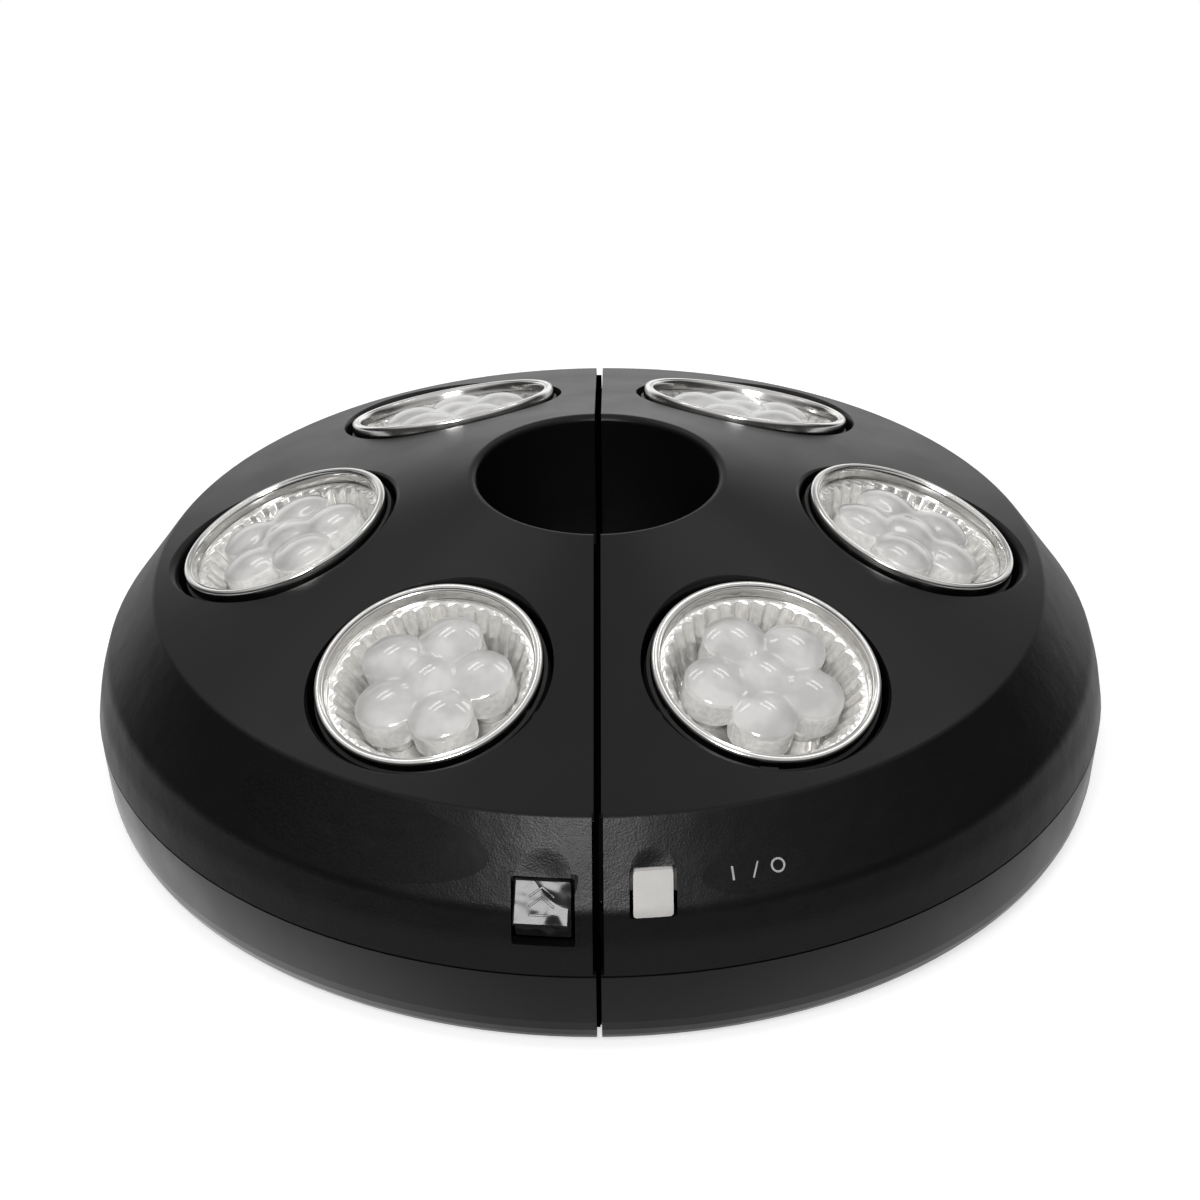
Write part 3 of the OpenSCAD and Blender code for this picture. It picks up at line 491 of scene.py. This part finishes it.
guide = startRing("light_guide", lens["domeRadius"], lens["guideFoot"], lens["steps"])
last = (lens["domeRadius"], lens["guideFoot"])
for z in (-6.5, -4.5, -3.2, -2.9):
    extrudeRing(last, (last[0] * 1.0005, z))
    last = (last[0] * 1.0005, z)
for k in range(lens["rings"] - 1):
    new = (lens["domeRadius"] * (1 - (k + 1) / lens["rings"]), -2.9)
    extrudeRing(last, new)
    last = new
bpy.ops.mesh.merge(type="CENTER")
mesh = bmesh.from_edit_mesh(guide.data)
for vert in mesh.verts:
    spread = vert.co.to_2d().length / mm / lens["domeRadius"]
    if spread < 0.001:
        vert.co.z = domeHeight(0, 0) * mm
        continue
    angle = math.atan2(vert.co.y, vert.co.x)
    radius = lobedRadius(angle) * min(spread, 1)
    x, y = radius * math.cos(angle), radius * math.sin(angle)
    vert.co.x, vert.co.y = x * mm, y * mm
    if vert.co.z > -2.95 * mm:
        vert.co.z = (domeHeight(x, y) - (0.25 if spread > 0.98 else 0)) * mm
bmesh.update_edit_mesh(guide.data)
bpy.ops.mesh.select_all(action="DESELECT")
bpy.ops.mesh.select_non_manifold()
bpy.ops.mesh.edge_face_add()
bpy.ops.mesh.select_all(action="SELECT")
bpy.ops.mesh.normals_make_consistent(inside=False)
guide = endEdit()
smooth(guide, 50)
guide.data.materials.append(finishes["frostedLens"])
guide.data.materials.append(finishes["guideWall"])
for face in guide.data.polygons:
    if face.normal.z < 0.35:
        face.material_index = 1
cones = []
for x, y in domeCentres():
    unselect()
    coneTop = lens["guideFoot"] + 0.1
    bpy.ops.mesh.primitive_cone_add(vertices=32, depth=(coneTop - lens["coneFoot"]) * mm,
                                    radius1=lens["coneRadius"][0] * mm, radius2=lens["coneRadius"][1] * mm,
                                    location=(x * mm, y * mm, (coneTop + lens["coneFoot"]) / 2 * mm))
    bpy.ops.object.transform_apply(location=True)
    cone = bpy.context.object
    smooth(cone, 40)
    cone.data.materials.append(finishes["guideWall"])
    cones.append(cone)
unselect()
for cone in cones:
    cone.select_set(True)
guide.select_set(True)
bpy.context.view_layer.objects.active = guide
bpy.ops.object.join()
copyToLamps(guide, "lens")

plate = turnPiece("lens_plate", [(lens["plateRadius"], lens["plateUnder"]),
                                 (lens["plateRadius"], lens["plateTop"]),
                                 (10, lens["plateTop"]), (10, lens["plateUnder"])], lens["steps"])
for vert in plate.data.vertices:
    if vert.co.to_2d().length < 11 * mm:
        angle = math.atan2(vert.co.y, vert.co.x)
        radius = (lobedRadius(angle) - lens["plateLap"]) * mm
        vert.co.x, vert.co.y = radius * math.cos(angle), radius * math.sin(angle)
smooth(plate, 30)
plate.data.materials.append(finishes["clearPlate"])
copyToLamps(plate, "lens", castShadow=False)
print("lamp heads ready")

# the band is a cone: radius and height of its upper and lower edge
band = {"upper": (105.1, 52.1), "lower": (117.0, 35.5)}
films = {
    "notice_film": {"middle": -28.05, "halfAngle": 16.15, "low": 36.9, "high": 51.2, "body": "left_half"},
    "switch_film": {"middle": 17.0, "halfAngle": 5.9, "low": 37.0, "high": 44.3, "body": "right_half"},
}
film = {"steps": 96, "rings": 8, "thickness": 0.09, "lift": 0.03}


def bandRise():
    # how much height one mm up the slope of the band gains
    (r1, z1), (r0, z0) = band["upper"], band["lower"]
    return (z1 - z0) / math.hypot(r0 - r1, z1 - z0)


def bandRadius(height):
    (r1, z1), (r0, z0) = band["upper"], band["lower"]
    return r0 + (r1 - r0) * (height - z0) / (z1 - z0)


def onBand(angle, height, lift):
    # a point on the band: angle from the front in degrees, height in mm, lift off the surface in mm
    (r1, z1), (r0, z0) = band["upper"], band["lower"]
    along = (height - z0) / (z1 - z0)
    slant = math.hypot(r0 - r1, z1 - z0)
    radius = r0 + (r1 - r0) * along + lift * (z1 - z0) / slant
    z = height + lift * (r0 - r1) / slant
    turn = math.radians(angle)
    return Vector((radius * math.sin(turn), -radius * math.cos(turn), z)) * mm


def wrapOnBand(piece, place):
    # lays a flat drawing, one unit to each side, on the band
    for vert in piece.data.vertices:
        angle = place["middle"] + vert.co.x * place["halfAngle"]
        middle = (place["low"] + place["high"]) / 2
        height = middle + vert.co.y * (place["high"] - place["low"]) / 2
        vert.co = onBand(angle, height, place.get("lift", film["lift"]))


def backWithThickness(piece, thickness):
    wall = piece.modifiers.new("wall", "SOLIDIFY")
    wall.thickness = thickness * mm
    wall.offset = 1
    applyModifiers(piece)


for name, place in films.items():
    unselect()
    bpy.ops.mesh.primitive_circle_add(vertices=film["steps"], radius=1)
    oval = bpy.context.object
    oval.name = oval.data.name = name
    startEdit(oval)
    bpy.ops.mesh.select_all(action="SELECT")
    last = 1.0
    for k in range(film["rings"] - 1):
        new = 1 - (k + 1) / film["rings"]
        bpy.ops.mesh.extrude_region_move()
        bpy.ops.transform.resize(value=(new / last, new / last, 1), center_override=(0, 0, 0))
        last = new
    bpy.ops.mesh.merge(type="CENTER")
    bpy.ops.mesh.select_all(action="SELECT")
    bpy.ops.mesh.normals_make_consistent(inside=False)
    endEdit()
    wrapOnBand(oval, place)
    if oval.data.polygons[0].normal.z < 0:
        oval.data.flip_normals()
    backWithThickness(oval, film["thickness"])
    smooth(oval, 40)
    oval.data.materials.append(finishes["labelFilm"])
    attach(oval, place["body"])


def drawBar(name, length, width, turn=0.0):
    # a flat bar in mm, cut across so that it can follow the band
    unselect()
    bpy.ops.mesh.primitive_grid_add(x_subdivisions=2, y_subdivisions=12, size=1)
    bpy.ops.transform.resize(value=(width, length, 1))
    bpy.ops.transform.rotate(value=math.radians(turn), orient_axis="Z", center_override=(0, 0, 0))
    bpy.ops.object.transform_apply(location=True, rotation=True, scale=True)
    bpy.context.object.name = bpy.context.object.data.name = name
    return bpy.context.object


def drawRing(name, radius, width, steps=48):
    unselect()
    bpy.ops.mesh.primitive_circle_add(vertices=steps, radius=radius)
    ring = bpy.context.object
    ring.name = ring.data.name = name
    startEdit(ring)
    bpy.ops.mesh.select_all(action="SELECT")
    bpy.ops.mesh.extrude_region_move()
    inner = (radius - width) / radius
    bpy.ops.transform.resize(value=(inner, inner, 1), center_override=(0, 0, 0))
    bpy.ops.mesh.select_all(action="SELECT")
    bpy.ops.mesh.normals_make_consistent(inside=False)
    return endEdit()


def layMark(piece, spot, finish, body):
    # spot: angle from the front, height, shift to the right in mm, lift and thickness in mm
    rise = bandRise()
    unit = math.degrees(1 / bandRadius(spot["height"]))
    wrapOnBand(piece, {"middle": spot["angle"] + spot["shift"] * unit, "halfAngle": unit,
                       "low": spot["height"] - rise, "high": spot["height"] + rise, "lift": spot["lift"]})
    if piece.data.polygons[0].normal.z < 0:
        piece.data.flip_normals()
    backWithThickness(piece, spot["thickness"])
    piece.data.materials.append(finishes[finish])
    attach(piece, body)


def bandFrame(angle, height, lift):
    # a frame on the band: X along it, Y up its slope, Z outwards
    (r1, z1), (r0, z0) = band["upper"], band["lower"]
    lean = math.atan2(r0 - r1, z1 - z0)
    turn = Matrix.Rotation(math.radians(angle), 4, "Z") @ Matrix.Rotation(math.pi / 2 - lean, 4, "X")
    return Matrix.Translation(onBand(angle, height, lift)) @ turn


# each finger dish above a button runs out softly into the band
dishes = {"power_dish": {"side": 11.6, "height": 42.9, "reach": 5.0, "foot": 0.55, "body": "right_half"},
          "unlock_dish": {"side": -11.5, "height": 41.6, "reach": 6.7, "foot": 0.05, "body": "left_half"}}
dish = {"depth": 0.42, "rim": 0.35, "columns": 40, "rows": 22, "thickness": 0.7}
for name, place in dishes.items():
    unselect()
    bpy.ops.mesh.primitive_grid_add(x_subdivisions=dish["columns"], y_subdivisions=dish["rows"], size=2)
    lining = bpy.context.object
    lining.name = lining.data.name = name
    radius = bandRadius(place["height"])
    reach = place["reach"] + dish["rim"]
    for vert in lining.data.vertices:
        side = vert.co.x * reach
        up = place["foot"] + (vert.co.y + 1) / 2 * (reach - place["foot"])
        share = math.hypot(side, up) / place["reach"]
        drop = dish["depth"] * (1 - share ** 2) ** 2 - 0.006 if share < 1 else 0.03
        angle = math.degrees(math.asin((place["side"] + side) / radius))
        vert.co = onBand(angle, place["height"] + up * bandRise(), -drop)
    if lining.data.polygons[0].normal.z < 0:
        lining.data.flip_normals()
    wall = lining.modifiers.new("wall", "SOLIDIFY")
    wall.thickness = dish["thickness"] * mm
    wall.offset = -1
    applyModifiers(lining)
    smooth(lining, 40)
    lining.data.materials.append(finishes["casingPlastic"])
    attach(lining, place["body"])


def addBlock(name, size, place, bevel=0.0):
    # a block with softened edges, in mm, set in a frame
    unselect()
    bpy.ops.mesh.primitive_cube_add(size=1)
    block = bpy.context.object
    block.name = block.data.name = name
    bpy.ops.transform.resize(value=size)
    bpy.ops.object.transform_apply(scale=True)
    if bevel:
        soft = block.modifiers.new("soft", "BEVEL")
        soft.width = bevel
        soft.segments = 3
        applyModifiers(block)
    block.data.transform(place @ Matrix.Diagonal((mm, mm, mm, 1)))
    return block


# flat glossy cap of the unlock button, with a raised mark of two chevrons over a bar
cap = {"angle": -5.82, "height": 37.3, "width": 11.95, "length": 9.8, "thickness": 2.4, "lift": 0.5,
       "leanBack": 2.4, "turnIn": 2.6}
capFrame = (bandFrame(cap["angle"], cap["height"], cap["lift"])
            @ Matrix.Rotation(-math.radians(cap["leanBack"]), 4, "X")
            @ Matrix.Rotation(math.radians(cap["turnIn"]), 4, "Y"))
capPieces = [addBlock("unlock_cap", (cap["width"], cap["length"], cap["thickness"]),
                      capFrame @ Matrix.Translation((0, 0, -cap["thickness"] / 2 * mm)), 0.4)]
for row in (2.3, 0.2):
    for side in (-1, 1):
        capPieces.append(addBlock("unlock_chevron", (3.6, 0.5, 0.3),
                                  capFrame @ Matrix.Translation((side * 1.25 * mm, row * mm, 0.02 * mm))
                                  @ Matrix.Rotation(-side * math.radians(38), 4, "Z"), 0.1))
capPieces.append(addBlock("unlock_bar", (5.2, 0.5, 0.3),
                          capFrame @ Matrix.Translation((0, -2.6 * mm, 0.02 * mm)), 0.1))
for piece in capPieces:
    piece.data.materials.append(finishes["unlockBlack"])
    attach(piece, "unlock_button")

# dark lips of the left half that close the view through the seam; their near-black finish is painted shade,
# standing in for the deep shadow inside the joint
lips = {"seam_lip_low": ((0.83, 3.6, 14.0), (0.705, -114.8, 28.9), 0),
        "seam_lip_high": ((0.83, 3.6, 18.4), (0.705, -107.4, 43.4), -35.6),
        "seam_lip_base": ((0.28, 3.6, 15.4), (0.37, -114.6, 13.9), 0)}
for name, (size, place, lean) in lips.items():
    lip = addBlock(name, size, Matrix.Translation(Vector(place) * mm)
                   @ Matrix.Rotation(math.radians(lean), 4, "X"))
    lip.data.materials.append(finishes["seamShadeBlack"])
    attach(lip, "left_half")

onFilm = {"angle": 17.0, "height": 40.7, "lift": film["lift"] + film["thickness"] - 0.01, "thickness": 0.03}
layMark(drawBar("mark_on", 3.0, 0.46), {**onFilm, "shift": -5.0}, "markGrey", "right_half")
layMark(drawBar("mark_slash", 3.6, 0.36, 24), {**onFilm, "shift": 0.0}, "markGrey", "right_half")
layMark(drawRing("mark_off", 1.6, 0.44), {**onFilm, "shift": 5.0}, "markGrey", "right_half")
print("films and marks ready")

cameraView = {"place": (0.00594, -0.66388, 0.43453), "yaw": 0.0086, "pitch": 0.5332, "roll": -0.0123,
              "lens": 96.98}
bpy.ops.object.camera_add()
camera = bpy.context.object
camera.name = "productCamera"
camera.data.lens = cameraView["lens"]
camera.data.sensor_width = 36
camera.data.clip_start = 0.01
camera.matrix_world = (Matrix.Translation(cameraView["place"]) @ Matrix.Rotation(cameraView["yaw"], 4, "Z")
                       @ Matrix.Rotation(math.pi / 2 - cameraView["pitch"], 4, "X")
                       @ Matrix.Rotation(cameraView["roll"], 4, "Z"))
bpy.context.scene.camera = camera

floorLook = {"radius": 0.40, "colour": (0.55, 0.55, 0.55), "glow": 0.66,
             "mirroredNear": 1.9, "mirroredFar": 0.09, "mirroredFront": 0.0,
             "ringEdge": (0.122, 0.145), "depthEdge": (-0.12, 0.06),
             "leftSide": (-0.08, -0.01, 1.0, 0.3), "rightSide": (0.01, 0.06, 0.3, 0.5)}
unselect()
bpy.ops.mesh.primitive_circle_add(vertices=128, radius=floorLook["radius"], fill_type="NGON",
                                  location=(0, 0, -0.0002))
floor = bpy.context.object
floor.name = "studioFloor"
floorMaterial, floorTree, floorShader = newFinish("floorPaper", {"Base Color": (*floorLook["colour"], 1),
                                                                 "Roughness": 0.9, "Specular IOR Level": 0.1})
addBump(floorTree, floorShader, 1.5, 0.01)
floorPath = floorTree.nodes.new("ShaderNodeLightPath")
floorPlace = floorTree.nodes.new("ShaderNodeTexCoord")
floorSplit = floorTree.nodes.new("ShaderNodeSeparateXYZ")
floorLength = floorTree.nodes.new("ShaderNodeVectorMath")
floorLength.operation = "LENGTH"
floorTree.links.new(floorPlace.outputs["Object"], floorSplit.inputs[0])
floorTree.links.new(floorPlace.outputs["Object"], floorLength.inputs[0])
floorGlow = floorTree.nodes.new("ShaderNodeEmission")
floorGlow.inputs["Color"].default_value = (1, 1, 1, 1)
floorAdd = floorTree.nodes.new("ShaderNodeAddShader")
# mirrored in the casing the paper is bright close to it, dim further out and darkest in front
floorNear = stepBetween(floorTree, floorLength.outputs["Value"], *floorLook["ringEdge"],
                        floorLook["mirroredNear"], 0.0)
floorFar = stepBetween(floorTree, floorSplit.outputs["Y"], *floorLook["depthEdge"],
                       floorLook["mirroredFront"], floorLook["mirroredFar"])
floorLeft = stepBetween(floorTree, floorSplit.outputs["X"], *floorLook["leftSide"])
floorRight = stepBetween(floorTree, floorSplit.outputs["X"], *floorLook["rightSide"])
floorSides = doMath(floorTree, "MULTIPLY", floorNear, doMath(floorTree, "MAXIMUM", floorLeft, floorRight))
floorMirrored = doMath(floorTree, "MAXIMUM", floorSides, floorFar)
floorSeen = doMath(floorTree, "MULTIPLY", floorPath.outputs["Is Camera Ray"], floorLook["glow"])
floorOther = doMath(floorTree, "MAXIMUM", floorPath.outputs["Is Glossy Ray"],
                    floorPath.outputs["Is Transmission Ray"])
floorStrength = doMath(floorTree, "ADD", floorSeen, doMath(floorTree, "MULTIPLY", floorOther, floorMirrored))
floorTree.links.new(floorStrength, floorGlow.inputs["Strength"])
floorTree.links.new(floorShader.outputs[0], floorAdd.inputs[0])
floorTree.links.new(floorGlow.outputs[0], floorAdd.inputs[1])
# seen from below the paper is left out, so that the underside shows
floorSide = floorTree.nodes.new("ShaderNodeNewGeometry")
floorClear = floorTree.nodes.new("ShaderNodeBsdfTransparent")
floorMix = floorTree.nodes.new("ShaderNodeMixShader")
floorTree.links.new(floorSide.outputs["Backfacing"], floorMix.inputs[0])
floorTree.links.new(floorAdd.outputs[0], floorMix.inputs[1])
floorTree.links.new(floorClear.outputs[0], floorMix.inputs[2])
floorTree.links.new(floorMix.outputs[0], floorTree.nodes["Material Output"].inputs["Surface"])
floor.data.materials.append(floorMaterial)

# the room: white to the camera, a white backdrop behind and a darker front in the reflections,
# and an even grey for the light on surfaces
room = {"fill": 0.38, "overhead": 0.56, "backdrop": 1.05, "front": 0.04,
        "overheadEdge": (0.25, 0.75), "backdropDepth": (0.55, 0.92), "backdropTop": (0.15, 0.62)}
world = bpy.data.worlds.new("studioRoom")
bpy.context.scene.world = world
world.use_nodes = True
tree = world.node_tree
background = tree.nodes["Background"]
direction = tree.nodes.new("ShaderNodeTexCoord")
split = tree.nodes.new("ShaderNodeSeparateXYZ")
tree.links.new(direction.outputs["Generated"], split.inputs[0])
lift = split.outputs["Z"]
depthAway = split.outputs["Y"]
upper = stepBetween(tree, lift, *room["overheadEdge"], 0.0, room["overhead"])
behind = doMath(tree, "MULTIPLY", stepBetween(tree, depthAway, *room["backdropDepth"], 0.0, 1.0),
                stepBetween(tree, lift, *room["backdropTop"], room["backdrop"], 0.0))
reflected = doMath(tree, "ADD", doMath(tree, "MAXIMUM", upper, behind), room["front"])
path = tree.nodes.new("ShaderNodeLightPath")
mirrored = doMath(tree, "MAXIMUM", path.outputs["Is Glossy Ray"], path.outputs["Is Transmission Ray"])
strength = doMath(tree, "ADD", doMath(tree, "MULTIPLY", mirrored, reflected),
                  doMath(tree, "MULTIPLY", doMath(tree, "SUBTRACT", 1.0, mirrored), room["fill"]))
strength = doMath(tree, "MAXIMUM", strength, path.outputs["Is Camera Ray"])
background.inputs["Color"].default_value = (1, 1, 1, 1)
tree.links.new(strength, background.inputs["Strength"])

lamps = {
    # azimuth from the front, elevation, distance in m, width and height in m, watts,
    # whether it lights surfaces, whether it is mirrored
    "frontSoftbox": (-6, 38, 1.0, 0.27, 0.20, 4.4, True, True),
    "overheadSoftbox": (20, 78, 1.1, 0.9, 0.9, 5.0, True, False),
    "leftBackTubeHigh": (-141, 62, 1.0, 0.40, 0.08, 0.22, False, True),
    "leftBackTubeLow": (-141, 50, 1.0, 0.40, 0.08, 0.22, False, True),
    "rightBackTubeHigh": (141, 62, 1.0, 0.40, 0.08, 0.22, False, True),
    "rightBackTubeLow": (141, 50, 1.0, 0.40, 0.08, 0.22, False, True),
}
aim = Vector((0, 0, 0.05))
for name, (azimuth, elevation, distance, width, height, watts, lights, mirrored) in lamps.items():
    a, e = math.radians(azimuth), math.radians(elevation)
    away = Vector((math.sin(a) * math.cos(e), -math.cos(a) * math.cos(e), math.sin(e)))
    bpy.ops.object.light_add(type="AREA", location=aim + away * distance)
    light = bpy.context.object
    light.name = name
    light.data.shape = "RECTANGLE"
    light.data.size, light.data.size_y = width, height
    light.data.energy = watts
    light.visible_diffuse = lights
    light.visible_glossy = mirrored
    light.rotation_euler = away.to_track_quat("Z", "Y").to_euler()
print("stage ready")

bpy.context.scene.view_settings.view_transform = "Standard"
